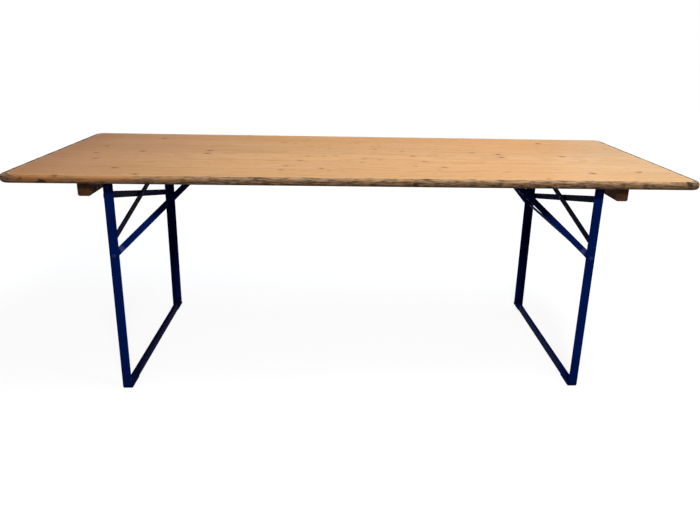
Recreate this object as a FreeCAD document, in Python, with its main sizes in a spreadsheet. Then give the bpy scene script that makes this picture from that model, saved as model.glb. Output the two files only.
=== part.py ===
"""Folding trestle table: a glued board top on two angle-iron frames that fold in under it.

Millimetres, +Z up, +X along the top, the front edge at -Y. The origin is on the floor, under the middle of
the top. Each frame hinges at its leg tops and is held open by a strut of two flat-bar arms, which turn on a
rod between the legs and meet at a pin in a spring catch under the top.
"""
import FreeCAD, Part
import os
import re
import Sketcher

BOARD_COUNT = 6
SIDES = {"left": -1, "right": 1}
ENDS = {"front": -1, "rear": 1}

SIZES = {
    # top of glued boards
    "table_height": 780,
    "top_length": 2200,
    "top_width": 700,
    "top_thickness": 27,
    "corner_round": 38,
    "edge_round": 11,
    # battens across the underside
    "batten_inset": 247,
    "batten_setback": 30,
    "batten_width": 39,
    "batten_height": 46,
    "batten_round": 6,
    # angle-iron legs
    "leg_inset": 310,
    "frame_setback": 53,
    "leg_size": 30,
    "leg_wall": 3,
    "leg_root": 0.9,
    "leg_crown": 12,
    # hinge plates under the top
    "hinge_drop": 24,
    "plate_thickness": 4,
    "plate_width": 40,
    "plate_length": 58,
    "plate_round": 6,
    "plate_bend": 3,
    "ear_thickness": 4,
    "ear_radius": 10,
    "plate_screw_spread": 24,
    "plate_screw_inset": 12,
    # bottom rail and feet
    "rail_width": 30,
    "rail_height": 30,
    "rail_wall": 3,
    "rail_cope": 70,
    "rail_slope": 10,
    "foot_thickness": 4,
    "foot_width": 33,
    "foot_length": 66,
    "foot_round": 4,
    # crossed flat bars between the legs
    "brace_high_drop": 53,
    "brace_low_drop": 217,
    "brace_width": 23,
    "brace_thickness": 4,
    "brace_tail": 7,
    "brace_round": 3,
    "brace_collar": 7,
    # strut arms, their rod and the pin at their end
    "strut_reach": 248,
    "strut_rise": 248,
    "bar_width": 22,
    "bar_thickness": 5,
    "lug_length": 22,
    "bend_round": 4,
    "nose_length": 41,
    "rod_radius": 5,
    "rod_head_radius": 7.5,
    "rod_head_height": 3.5,
    "pin_radius": 5,
    "pin_length": 56,
    "pin_setback": 4,
    "arm_rivet_inset": 9,
    "arm_rivet_spacing": 16,
    # spring catch under the top
    "catch_thickness": 2,
    "catch_width": 54,
    "catch_length": 46,
    "catch_slot": 17,
    "catch_round": 5,
    "jaw_length": 9,
    "lip_length": 5,
    "catch_screw_spread": 30,
    "catch_screw_inset": 9,
    # fasteners
    "rivet_radius": 3,
    "rivet_head_radius": 5.5,
    "rivet_head_height": 2.5,
    "hinge_rivet_radius": 4,
    "hinge_rivet_head_radius": 7,
    "hinge_rivet_head_height": 3,
    "head_round": 1.9,
    "screw_radius": 2.5,
    "screw_head_radius": 4.5,
    "screw_head_height": 2.6,
    "batten_screw_radius": 3,
    "batten_screw_head_radius": 5.5,
    "batten_screw_head_height": 4,
    "counterbore_depth": 8,
    "screw_bite": 15,
    "screw_round": 1.2,
    "screw_slot": 1.2,
    "screw_slot_depth": 1.3,
    # clearances
    "fit_clearance": 0.05,
    "counterbore_clearance": 0.5,
    "pin_clearance": 0.8,
}
LIP_TURN = "35 deg"

# levels and places that several pieces share
UNDERSIDE = "(table_height - top_thickness)"
HINGE_Z = f"({UNDERSIDE} - hinge_drop)"
PIN_Z = f"({UNDERSIDE} - catch_thickness - pin_clearance - pin_radius)"
PIVOT_Z = f"({PIN_Z} - strut_rise)"
LEG_X = "(top_length / 2 - leg_inset)"
BATTEN_X = "(top_length / 2 - batten_inset)"
BATTEN_LENGTH = "(top_width - 2 * batten_setback)"
PIN_X = f"({LEG_X} - strut_reach)"
STRUT_LENGTH = "sqrt(strut_reach ^ 2 + strut_rise ^ 2)"
STRUT_ANGLE = "atan(strut_rise / strut_reach)"
LEG_OUTER_X = f"({LEG_X} + leg_size / 2)"
LEG_INNER_X = f"({LEG_X} - leg_size / 2)"
LEG_FLANGE_X = f"({LEG_OUTER_X} - leg_wall)"
LEG_OUTER_Y = "(top_width / 2 - frame_setback)"
LEG_FLANGE_Y = f"({LEG_OUTER_Y} - leg_wall)"
LEG_MID_Y = f"({LEG_OUTER_Y} - leg_size / 2)"
BRACE_HIGH_Z = f"({UNDERSIDE} - brace_high_drop)"
BRACE_LOW_Z = f"({UNDERSIDE} - brace_low_drop)"
BRACE_FALL = "(brace_low_drop - brace_high_drop)"
BRACE_RUN = f"(2 * {LEG_MID_Y})"
BRACE_LENGTH = f"sqrt({BRACE_RUN} ^ 2 + {BRACE_FALL} ^ 2)"
PLATE_SCREW_Y = f"({LEG_FLANGE_Y} - plate_length + plate_screw_inset)"
CATCH_SCREW_X = f"({PIN_X} - catch_length + catch_screw_inset)"

doc = FreeCAD.newDocument("trestle_table")
sheet = doc.addObject("Spreadsheet::Sheet", "sizes")
for row, (name, size) in enumerate(SIZES.items(), start=1):
    sheet.set(f"A{row}", name)
    sheet.set(f"B{row}", str(size))
    sheet.setAlias(f"B{row}", name)
doc.recompute()
probe = doc.addObject("App::FeaturePython", "probe")
sub_parts = []


def formula(text):
    """The text of an expression, with each size's name pointed at its cell."""
    return re.sub(r"[a-z]\w*", lambda word: f"sizes.{word[0]}" if word[0] in SIZES else word[0], text)


def new_body(label):
    """An empty sub-part under its own name."""
    body = doc.addObject("PartDesign::Body", label)
    sub_parts.append(body)
    return body


def place(body, x, z, turn, axis=(0, 1, 0)):
    """Puts a body's own origin at x, z in the plane y = 0, turned about the axis."""
    body.Placement = FreeCAD.Placement(FreeCAD.Vector(), FreeCAD.Rotation(FreeCAD.Vector(*axis), 1))
    body.setExpression("Placement.Base.x", formula(x))
    body.setExpression("Placement.Base.z", formula(z))
    body.setExpression("Placement.Rotation.Angle", formula(turn))


def sketch_on(body, plane, level):
    """A sketch on one of the body's own planes, at a level along that plane's world axis."""
    sketch = body.newObject("Sketcher::SketchObject", f"{body.Name}_sketch")
    support = next(item for item in body.Origin.OriginFeatures if item.Role == f"{plane}_Plane")
    sketch.AttachmentSupport = (support, "")
    sketch.MapMode = "FlatFace"
    along_normal = f"-1 * ({level})" if plane == "XZ" else level
    sketch.setExpression("AttachmentOffset.Base.z", formula(along_normal))
    return sketch


def size_of(text):
    """The present value of an expression."""
    return float(probe.evalExpression(formula(text)))


def spot_of(pair):
    """The present place of a pair of expressions in a sketch."""
    return FreeCAD.Vector(size_of(pair[0]), size_of(pair[1]), 0)


def constrain(sketch, kind, text, *ends):
    """One driving constraint, bound to its expression."""
    index = sketch.addConstraint(Sketcher.Constraint(kind, *ends, size_of(text)))
    sketch.setExpression(f"Constraints[{index}]", formula(text))


def polygon(body, plane, level, corners):
    """A closed outline of straight sides through corners given as pairs of expressions."""
    sketch = sketch_on(body, plane, level)
    spots = [spot_of(pair) for pair in corners]
    for start, end in zip(spots, spots[1:] + spots[:1]):
        sketch.addGeometry(Part.LineSegment(start, end))
    for side, (x, y) in enumerate(corners):
        sketch.addConstraint(Sketcher.Constraint("Coincident", (side - 1) % len(corners), 2, side, 1))
        constrain(sketch, "DistanceX", x, -1, 1, side, 1)
        constrain(sketch, "DistanceY", y, -1, 1, side, 1)
    return sketch


def rectangle(body, plane, level, x_ends, y_ends):
    """An upright rectangle between two pairs of expressions."""
    (x_low, x_high), (y_low, y_high) = x_ends, y_ends
    corners = [(x_low, y_low), (x_high, y_low), (x_high, y_high), (x_low, y_high)]
    return polygon(body, plane, level, corners)


def discs(body, plane, level, spots, *radii):
    """A circle, or a ring of two, at every spot."""
    sketch = sketch_on(body, plane, level)
    for x, y in spots:
        for radius in radii:
            item = sketch.addGeometry(Part.Circle(spot_of((x, y)), FreeCAD.Vector(0, 0, 1), size_of(radius)))
            constrain(sketch, "Radius", radius, item)
            constrain(sketch, "DistanceX", x, -1, 1, item, 3)
            constrain(sketch, "DistanceY", y, -1, 1, item, 3)
    return sketch


def pad(body, sketch, length, middle=False):
    """Thickens a sketch towards +X, +Y or +Z, or to both sides of it."""
    feature = body.newObject("PartDesign::Pad", f"{body.Name}_pad")
    feature.Profile = sketch
    feature.setExpression("Length", formula(length))
    if middle:
        feature.SideType = "Symmetric"
    else:
        feature.Reversed = "XZ_Plane" in sketch.AttachmentSupport[0][0].Role
    return feature


def pocket(body, sketch, length, middle=False):
    """Cuts a sketch into the body towards +X, +Y or +Z, or to both sides, and makes sure that it cut."""
    doc.recompute()
    whole = body.Shape.Volume
    feature = body.newObject("PartDesign::Pocket", f"{body.Name}_pocket")
    feature.Profile = sketch
    feature.setExpression("Length", formula(length))
    if middle:
        feature.SideType = "Symmetric"
    else:
        feature.Reversed = "XZ_Plane" not in sketch.AttachmentSupport[0][0].Role
    doc.recompute()
    if not body.Shape.Volume < whole:
        raise RuntimeError(f"{body.Label}: a pocket cut nothing")
    return feature


def bore(body, plane, level, spots, radius, length):
    """Cuts a hole at every spot, a fit's clearance wider than what goes in it."""
    pocket(body, discs(body, plane, level, spots, f"{radius} + fit_clearance"), length)


def dress(body, kind, wanted):
    """A fillet or chamfer on the edges of the body's last feature for which wanted(edge) is true."""
    doc.recompute()
    base = body.Tip
    names = [f"Edge{count}" for count, edge in enumerate(base.Shape.Edges, start=1) if wanted(edge)]
    feature = body.newObject(f"PartDesign::{kind}", f"{body.Name}_{kind.lower()}")
    feature.Base = (base, names)
    return feature


def fillet(body, radius, wanted):
    """Rounds the wanted edges."""
    dress(body, "Fillet", wanted).setExpression("Radius", formula(radius))
    doc.recompute()


def chamfer(body, size, wanted):
    """Cuts the wanted edges off square."""
    dress(body, "Chamfer", wanted).setExpression("Size", formula(size))
    doc.recompute()


def runs_along(edge, axis):
    """True for a straight edge along the world axis of that number."""
    if edge.Curve.TypeId != "Part::GeomLine":
        return False
    return abs(abs(edge.Curve.Direction[axis]) - 1) < 1e-6


def rim_of(edge, axis, levels):
    """True for an edge that lies flat at one of the levels along an axis."""
    low = (edge.BoundBox.XMin, edge.BoundBox.YMin, edge.BoundBox.ZMin)[axis]
    high = (edge.BoundBox.XMax, edge.BoundBox.YMax, edge.BoundBox.ZMax)[axis]
    return any(abs(low - level) + abs(high - level) < 1e-3 for level in levels)


def rivet(body, plane, spots, ends, kind):
    """Rivets between two levels on the plane's axis, with a rounded head past each of them.

    The kind is the first word of the names of their sizes.
    """
    low, high = ends
    height = f"{kind}_head_height"
    pad(body, discs(body, plane, low, spots, f"{kind}_radius"), f"({high}) - ({low})")
    pad(body, discs(body, plane, high, spots, f"{kind}_head_radius"), height)
    pad(body, discs(body, plane, f"({low}) - {height}", spots, f"{kind}_head_radius"), height)
    axis = {"YZ": 0, "XZ": 1}[plane]
    crowns = [size_of(f"({high}) + {height}"), size_of(f"({low}) - {height}")]
    fillet(body, "head_round", lambda edge: rim_of(edge, axis, crowns))


def screws(label, spots, seat, grip, kind):
    """Slotted screws driven up through a piece of thickness grip that starts at the seat, into the top."""
    body = new_body(label)
    height = f"{kind}_head_height"
    crown = f"({seat} - {height})"
    pad(body, discs(body, "XY", crown, spots, f"{kind}_head_radius"), height)
    pad(body, discs(body, "XY", seat, spots, f"{kind}_radius"), f"{grip} + screw_bite")
    crowns = [size_of(crown)]
    fillet(body, "screw_round", lambda edge: rim_of(edge, 2, crowns))
    for x in dict.fromkeys(x for x, y in spots):
        slot_x = (f"{x} - screw_slot / 2", f"{x} + screw_slot / 2")
        slot_y = ("-1 * top_width / 2", "top_width / 2")
        pocket(body, rectangle(body, "XY", crown, slot_x, slot_y), "screw_slot_depth")


def span(sign, near, far):
    """Two expressions in rising order, from the part of an axis between near and far on one side of zero."""
    return (f"-1 * ({far})", f"-1 * ({near})") if sign < 0 else (near, far)


# The pilot holes in the top follow the screws of the battens, hinge plates and catches.
BOARD_WIDTH = f"(top_width / {BOARD_COUNT})"
board_middles = [f"{2 * count + 1 - BOARD_COUNT} / 2 * {BOARD_WIDTH}" for count in range(BOARD_COUNT)]
batten_spots = [(f"{side} * {BATTEN_X}", y) for side in SIDES.values() for y in board_middles]


def plate_screw_spots(side, end):
    """The two screws of one hinge plate."""
    y = f"{end} * {PLATE_SCREW_Y}"
    return [(f"{side} * {LEG_X} + {turn} * plate_screw_spread / 2", y) for turn in (-1, 1)]


def catch_screw_spots(side):
    """The two screws of one catch."""
    return [(f"{side} * {CATCH_SCREW_X}", f"{end} * catch_screw_spread / 2") for end in ENDS.values()]


plate_spots = []
catch_spots = []
for side in SIDES.values():
    plate_spots += plate_screw_spots(side, ENDS["front"]) + plate_screw_spots(side, ENDS["rear"])
    catch_spots += catch_screw_spots(side)

# The glued top: one rounded slab with pilot holes, which is then cut into its boards.
slab = doc.addObject("PartDesign::Body", "top_slab")
half_length = ("-1 * top_length / 2", "top_length / 2")
half_width = ("-1 * top_width / 2", "top_width / 2")
pad(slab, rectangle(slab, "XY", UNDERSIDE, half_length, half_width), "top_thickness")
fillet(slab, "corner_round", lambda edge: runs_along(edge, 2))
faces = [size_of(UNDERSIDE), size_of("table_height")]
fillet(slab, "edge_round", lambda edge: rim_of(edge, 2, faces))
bore(slab, "XY", UNDERSIDE, batten_spots, "batten_screw_radius", "screw_bite")
bore(slab, "XY", UNDERSIDE, plate_spots + catch_spots, "screw_radius", "screw_bite")

for count in range(BOARD_COUNT):
    strip = doc.addObject("Part::Box", f"board_strip_{count + 1}")
    strip.setExpression("Length", formula("top_length"))
    strip.setExpression("Width", formula(BOARD_WIDTH))
    strip.setExpression("Height", formula("top_thickness"))
    strip.setExpression("Placement.Base.x", formula("-1 * top_length / 2"))
    strip.setExpression("Placement.Base.y", formula(f"{count} * {BOARD_WIDTH} - top_width / 2"))
    strip.setExpression("Placement.Base.z", formula(UNDERSIDE))
    board = doc.addObject("Part::Common", f"top_board_{count + 1}")
    board.Base = slab
    board.Tool = strip
    sub_parts.append(board)

# Battens: planed bars with rounded lower edges, counterbored for the screws.
batten_bottom = f"({UNDERSIDE} - batten_height)"
for name, side in SIDES.items():
    batten = new_body(f"{name}_batten")
    x_ends = span(side, f"{BATTEN_X} - batten_width / 2", f"{BATTEN_X} + batten_width / 2")
    section = rectangle(batten, "XZ", f"-1 * {BATTEN_LENGTH} / 2", x_ends, (batten_bottom, UNDERSIDE))
    pad(batten, section, BATTEN_LENGTH)
    low = [size_of(batten_bottom)]
    fillet(batten, "batten_round", lambda edge: rim_of(edge, 2, low) and runs_along(edge, 1))
    spots = [(f"{side} * {BATTEN_X}", y) for y in board_middles]
    bore(batten, "XY", batten_bottom, spots, "batten_screw_radius", "batten_height")
    seats = discs(batten, "XY", batten_bottom, spots, "batten_screw_head_radius + counterbore_clearance")
    pocket(batten, seats, "counterbore_depth")

seat = f"({batten_bottom} + counterbore_depth)"
screws("batten_screws", batten_spots, seat, "batten_height - counterbore_depth", "batten_screw")

# Hinge plates: a base under the top with an ear beside each leg's flange.
plate_bottom = f"({UNDERSIDE} - plate_thickness)"
for name, side in SIDES.items():
    for end_name, end in ENDS.items():
        plate = new_body(f"{name}_{end_name}_hinge_plate")
        x_ends = (f"{side} * {LEG_X} - plate_width / 2", f"{side} * {LEG_X} + plate_width / 2")
        y_ends = span(end, f"{LEG_FLANGE_Y} - plate_length", LEG_FLANGE_Y)
        pad(plate, rectangle(plate, "XY", plate_bottom, x_ends, y_ends), "plate_thickness")
        inner = [size_of(f"{end} * ({LEG_FLANGE_Y} - plate_length)")]
        fillet(plate, "plate_round", lambda edge: runs_along(edge, 2) and rim_of(edge, 1, inner))
        ear_y = span(end, f"{LEG_FLANGE_Y} - ear_thickness", LEG_FLANGE_Y)
        ear_x = (f"{side} * {LEG_X} - ear_radius", f"{side} * {LEG_X} + ear_radius")
        axis_spot = [(f"{side} * {LEG_X}", HINGE_Z)]
        pad(plate, rectangle(plate, "XZ", ear_y[0], ear_x, (HINGE_Z, plate_bottom)), "ear_thickness")
        pad(plate, discs(plate, "XZ", ear_y[0], axis_spot, "ear_radius"), "ear_thickness")
        bend_y = [size_of(f"{end} * ({LEG_FLANGE_Y} - ear_thickness)")]
        bend_z = [size_of(plate_bottom)]
        fillet(plate, "plate_bend", lambda edge: rim_of(edge, 1, bend_y) and rim_of(edge, 2, bend_z))
        bore(plate, "XZ", ear_y[0], axis_spot, "hinge_rivet_radius", "ear_thickness")
        bore(plate, "XY", plate_bottom, plate_screw_spots(side, end), "screw_radius", "plate_thickness")

screws("hinge_screws", plate_spots, plate_bottom, "plate_thickness", "screw")

# Spring catches: a strip that lies under the top, turns down round the pin and runs back below it as jaws.
# The jaws point along the way that the pin leaves when the frame folds.
JAW_ANGLE = f"atan(strut_reach / (2 * ({HINGE_Z} - {PIVOT_Z}) + strut_reach))"
LIP_ANGLE = f"({JAW_ANGLE} + {LIP_TURN})"
curl_inner = "(pin_radius + pin_clearance)"
curl_outer = "(pin_radius + pin_clearance + catch_thickness)"
catch_bottom = f"({UNDERSIDE} - catch_thickness)"
for name, side in SIDES.items():
    catch = new_body(f"{name}_catch")
    half_catch = ("-1 * catch_width / 2", "catch_width / 2")
    pin_spot = [(f"{side} * {PIN_X}", PIN_Z)]
    inward = -side

    def jaw_point(radius, along, lip):
        """A point of the jaw: out from the pin by radius, then along the jaw and along its lip."""
        forward = f"({along} * cos({JAW_ANGLE}) + {lip} * cos({LIP_ANGLE}) - {radius} * sin({JAW_ANGLE}))"
        down = f"({along} * sin({JAW_ANGLE}) + {lip} * sin({LIP_ANGLE}) + {radius} * cos({JAW_ANGLE}))"
        return f"{side} * {PIN_X} + {inward} * {forward}", f"{PIN_Z} - {down}"

    pad(catch, discs(catch, "XZ", half_catch[0], pin_spot, curl_outer, curl_inner), "catch_width")
    mouth = [
        (f"{side} * {PIN_X}", PIN_Z),
        jaw_point(f"(2 * {curl_outer})", "0", "0"),
        (f"{side} * {PIN_X} + {inward} * 2 * {curl_outer}", f"{PIN_Z} - 2 * {curl_outer}"),
        (f"{side} * {PIN_X} + {inward} * 2 * {curl_outer}", f"{PIN_Z} + 2 * {curl_outer}"),
        (f"{side} * {PIN_X}", f"{PIN_Z} + 2 * {curl_outer}"),
    ]
    pocket(catch, polygon(catch, "XZ", half_catch[0], mouth), "catch_width")
    jaw = [
        jaw_point(curl_inner, "0", "0"),
        jaw_point(curl_inner, "jaw_length", "0"),
        jaw_point(curl_inner, "jaw_length", "lip_length"),
        jaw_point(curl_outer, "jaw_length", "lip_length"),
        jaw_point(curl_outer, "jaw_length", "0"),
        jaw_point(curl_outer, "0", "0"),
    ]
    pad(catch, polygon(catch, "XZ", half_catch[0], jaw), "catch_width")
    base_x = span(side, f"{PIN_X} - catch_length", PIN_X)
    pad(catch, rectangle(catch, "XY", catch_bottom, base_x, half_catch), "catch_thickness")
    inner = [size_of(f"{side} * ({PIN_X} - catch_length)")]
    fillet(catch, "catch_round", lambda edge: runs_along(edge, 2) and rim_of(edge, 0, inner))
    slot_low = f"({PIN_Z} - 2 * {curl_outer} - jaw_length - lip_length)"
    slot_x = (f"{side} * {PIN_X} - catch_length", f"{side} * {PIN_X} + catch_length")
    slot = rectangle(catch, "XY", slot_low, slot_x, ("-1 * catch_slot / 2", "catch_slot / 2"))
    pocket(catch, slot, f"{catch_bottom} - {slot_low}")
    bore(catch, "XY", catch_bottom, catch_screw_spots(side), "screw_radius", "catch_thickness")

screws("catch_screws", catch_spots, catch_bottom, "catch_thickness", "screw")

for name, side in SIDES.items():
    # Legs: angle iron, its corner at the outside of the frame, bored for the hinge, rod and braces.
    for end_name, end in ENDS.items():
        leg = new_body(f"{name}_{end_name}_leg")
        corners = [
            (f"{side} * {LEG_OUTER_X}", f"{end} * {LEG_OUTER_Y}"),
            (f"{side} * {LEG_INNER_X}", f"{end} * {LEG_OUTER_Y}"),
            (f"{side} * {LEG_INNER_X}", f"{end} * {LEG_FLANGE_Y}"),
            (f"{side} * {LEG_FLANGE_X}", f"{end} * {LEG_FLANGE_Y}"),
            (f"{side} * {LEG_FLANGE_X}", f"{end} * ({LEG_OUTER_Y} - leg_size)"),
            (f"{side} * {LEG_OUTER_X}", f"{end} * ({LEG_OUTER_Y} - leg_size)"),
        ]
        pad(leg, polygon(leg, "XY", "foot_thickness", corners), f"{HINGE_Z} + leg_crown - foot_thickness")
        root_x = [size_of(f"{side} * {LEG_FLANGE_X}")]
        root_y = [size_of(f"{end} * {LEG_FLANGE_Y}")]
        fillet(leg, "leg_root", lambda edge: rim_of(edge, 0, root_x) and rim_of(edge, 1, root_y))
        flange_y = span(end, LEG_FLANGE_Y, LEG_OUTER_Y)
        bore(leg, "XZ", flange_y[0], [(f"{side} * {LEG_X}", HINGE_Z)], "hinge_rivet_radius", "leg_wall")
        bore(leg, "XZ", flange_y[0], [(f"{side} * {LEG_X}", PIVOT_Z)], "rod_radius", "leg_wall")
        flange_x = span(side, LEG_FLANGE_X, LEG_OUTER_X)
        spots = [(f"{end} * {LEG_MID_Y}", z) for z in (BRACE_HIGH_Z, BRACE_LOW_Z)]
        bore(leg, "YZ", flange_x[0], spots, "rivet_radius", "leg_wall")

        # Feet: plates under the leg and the end of the rail.
        foot = new_body(f"{name}_{end_name}_foot")
        x_ends = span(side, f"{LEG_OUTER_X} - foot_width", LEG_OUTER_X)
        y_ends = span(end, f"{LEG_OUTER_Y} - foot_length", LEG_OUTER_Y)
        pad(foot, rectangle(foot, "XY", "0", x_ends, y_ends), "foot_thickness")
        fillet(foot, "foot_round", lambda edge: runs_along(edge, 2))

    # Bottom rail: angle iron between the legs, its upright flange inside and cut away at both ends.
    rail = new_body(f"{name}_bottom_rail")
    x_ends = span(side, f"{LEG_FLANGE_X} - rail_width", LEG_FLANGE_X)
    rail_floor = ("foot_thickness", "foot_thickness + rail_wall")
    pad(rail, rectangle(rail, "XZ", f"-1 * {LEG_FLANGE_Y}", x_ends, rail_floor), f"2 * {LEG_FLANGE_Y}")
    outer = [size_of(f"{side} * {LEG_FLANGE_X}")]
    chamfer(rail, "leg_root", lambda edge: runs_along(edge, 2) and rim_of(edge, 0, outer))
    wall_x = span(side, f"{LEG_FLANGE_X} - rail_width", f"{LEG_FLANGE_X} - rail_width + rail_wall")
    rail_top = "foot_thickness + rail_height"
    upright = [
        (f"rail_cope - {LEG_OUTER_Y}", "foot_thickness"),
        (f"{LEG_OUTER_Y} - rail_cope", "foot_thickness"),
        (f"{LEG_OUTER_Y} - rail_cope - rail_slope", rail_top),
        (f"rail_cope + rail_slope - {LEG_OUTER_Y}", rail_top),
    ]
    pad(rail, polygon(rail, "YZ", wall_x[0], upright), "rail_wall")
    root_x = [size_of(f"{side} * ({LEG_FLANGE_X} - rail_width + rail_wall)")]
    root_z = [size_of(rail_floor[1])]
    fillet(rail, "leg_root", lambda edge: rim_of(edge, 0, root_x) and rim_of(edge, 2, root_z))

    # Rod between the legs, riveted over at both ends: it spaces the frame and carries the strut.
    rod = new_body(f"{name}_strut_rod")
    rod_spot = [(f"{side} * {LEG_X}", PIVOT_Z)]
    rivet(rod, "XZ", rod_spot, (f"-1 * {LEG_OUTER_Y}", LEG_OUTER_Y), "rod")

    # Hinge rivets through each leg and the ear of its plate.
    hinge_rivets = new_body(f"{name}_hinge_rivets")
    for end in ENDS.values():
        through = span(end, f"{LEG_FLANGE_Y} - ear_thickness", LEG_OUTER_Y)
        rivet(hinge_rivets, "XZ", [(f"{side} * {LEG_X}", HINGE_Z)], through, "hinge_rivet")

    # Crossed bars: one riveted to the inner face of the legs' outer flanges, the other to their outer face.
    middle_z = f"({BRACE_HIGH_Z} + {BRACE_LOW_Z}) / 2"
    half_bar = f"({BRACE_LENGTH} / 2 + brace_tail)"
    rivet_spots = [(f"{turn} * {BRACE_LENGTH} / 2", "0") for turn in (-1, 1)]
    inner_bar = (f"{LEG_FLANGE_X} - brace_thickness", LEG_FLANGE_X)
    outer_bar = (LEG_OUTER_X, f"{LEG_OUTER_X} + brace_thickness")
    for bar_name, tilt, (near, far) in (("inner", 1, inner_bar), ("outer", -1, outer_bar)):
        brace = new_body(f"{name}_{bar_name}_brace")
        bar_x = span(side, near, far)
        along, across = (f"-1 * {half_bar}", half_bar), ("-1 * brace_width / 2", "brace_width / 2")
        pad(brace, rectangle(brace, "YZ", bar_x[0], along, across), "brace_thickness")
        fillet(brace, "brace_round", lambda edge: runs_along(edge, 0))
        bore(brace, "YZ", bar_x[0], rivet_spots + [("0", "0")], "rivet_radius", "brace_thickness")
        place(brace, "0", middle_z, f"{tilt} * atan({BRACE_FALL} / {BRACE_RUN})", axis=(1, 0, 0))

    # Brace rivets: two in each leg, and one with a collar that keeps the bars apart where they cross.
    brace_rivets = new_body(f"{name}_brace_rivets")
    inner_ends = [(f"{end} * {LEG_MID_Y}", BRACE_LOW_Z if end < 0 else BRACE_HIGH_Z) for end in ENDS.values()]
    outer_ends = [(f"{end} * {LEG_MID_Y}", BRACE_HIGH_Z if end < 0 else BRACE_LOW_Z) for end in ENDS.values()]
    rivet(brace_rivets, "YZ", inner_ends, span(side, inner_bar[0], LEG_OUTER_X), "rivet")
    rivet(brace_rivets, "YZ", outer_ends, span(side, LEG_FLANGE_X, outer_bar[1]), "rivet")
    rivet(brace_rivets, "YZ", [("0", middle_z)], span(side, inner_bar[0], outer_bar[1]), "rivet")
    between_bars = span(side, LEG_FLANGE_X, LEG_OUTER_X)
    collar = discs(brace_rivets, "YZ", between_bars[0], [("0", middle_z)], "brace_collar")
    pad(brace_rivets, collar, "leg_wall")

    # Strut arms: flat bars from the rod, bent in to the middle, side by side at the pin.
    turn = f"-1 * {STRUT_ANGLE}" if side < 0 else f"{STRUT_ANGLE} - 180 deg"
    nose_start = f"({STRUT_LENGTH} - nose_length)"
    bar_end = f"({STRUT_LENGTH} - pin_setback)"
    bend = f"atan(({LEG_FLANGE_Y} - bar_thickness) / ({nose_start} - lug_length))"
    mitre = f"(bar_thickness / 2 * tan({bend} / 2))"
    nose_rivets = [(f"{nose_start} + arm_rivet_inset {plus}", "0") for plus in ("", "+ arm_rivet_spacing")]
    for end_name, end in ENDS.items():
        arm = new_body(f"{name}_{end_name}_arm")
        outline = [
            ("0", f"{end} * {LEG_FLANGE_Y}"),
            (f"lug_length + {mitre}", f"{end} * {LEG_FLANGE_Y}"),
            (f"{nose_start} + {mitre}", f"{end} * bar_thickness"),
            (bar_end, f"{end} * bar_thickness"),
            (bar_end, "0"),
            (f"{nose_start} - {mitre}", "0"),
            (f"lug_length - {mitre}", f"{end} * ({LEG_FLANGE_Y} - bar_thickness)"),
            ("0", f"{end} * ({LEG_FLANGE_Y} - bar_thickness)"),
        ]
        pad(arm, polygon(arm, "XY", "0", outline), "bar_width", middle=True)
        for corner, radius in ((1, "bend_round + bar_thickness"), (6, "bend_round"), (2, "bend_round"),
                               (5, "bend_round + bar_thickness")):
            corner_x, corner_y = ([size_of(place_text)] for place_text in outline[corner])
            fillet(arm, radius, lambda edge: rim_of(edge, 0, corner_x) and rim_of(edge, 1, corner_y))
        lug_y = span(end, f"{LEG_FLANGE_Y} - bar_thickness", LEG_FLANGE_Y)
        pad(arm, discs(arm, "XZ", lug_y[0], [("0", "0")], "bar_width / 2"), "bar_thickness")
        bore(arm, "XZ", lug_y[0], [("0", "0")], "rod_radius", "bar_thickness")
        nose_y = span(end, "0", "bar_thickness")
        bore(arm, "XZ", nose_y[0], [(STRUT_LENGTH, "0")], "pin_radius", "bar_thickness")
        bore(arm, "XZ", nose_y[0], nose_rivets, "rivet_radius", "bar_thickness")
        place(arm, f"{side} * {LEG_X}", PIVOT_Z, turn)

    arm_rivets = new_body(f"{name}_arm_rivets")
    rivet(arm_rivets, "XZ", nose_rivets, ("-1 * bar_thickness", "bar_thickness"), "rivet")
    place(arm_rivets, f"{side} * {LEG_X}", PIVOT_Z, turn)

    # Pin across the ends of the arms.
    pin = new_body(f"{name}_catch_pin")
    pin_spot = [(f"{side} * {PIN_X}", PIN_Z)]
    pad(pin, discs(pin, "XZ", "-1 * pin_length / 2", pin_spot, "pin_radius"), "pin_length")
    tips = [size_of("-1 * pin_length / 2"), size_of("pin_length / 2")]
    fillet(pin, "head_round", lambda edge: rim_of(edge, 1, tips))

doc.recompute()
for item in doc.Objects:
    if "Invalid" in item.State or "Error" in item.State:
        raise RuntimeError(f"{item.Label}: {item.State}")
for item in sub_parts:
    if item.Shape.isNull() or not item.Shape.isValid():
        raise RuntimeError(f"{item.Label}: no valid shape")

os.makedirs("parts", exist_ok=True)
for item in sub_parts:
    item.Shape.exportStep(f"parts/{item.Label}.step")
print(len(sub_parts), "sub-parts written")
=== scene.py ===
"""Looks of the folding trestle table: lacquered board top, dark battens, blue enamelled steel frames."""
import math

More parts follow.
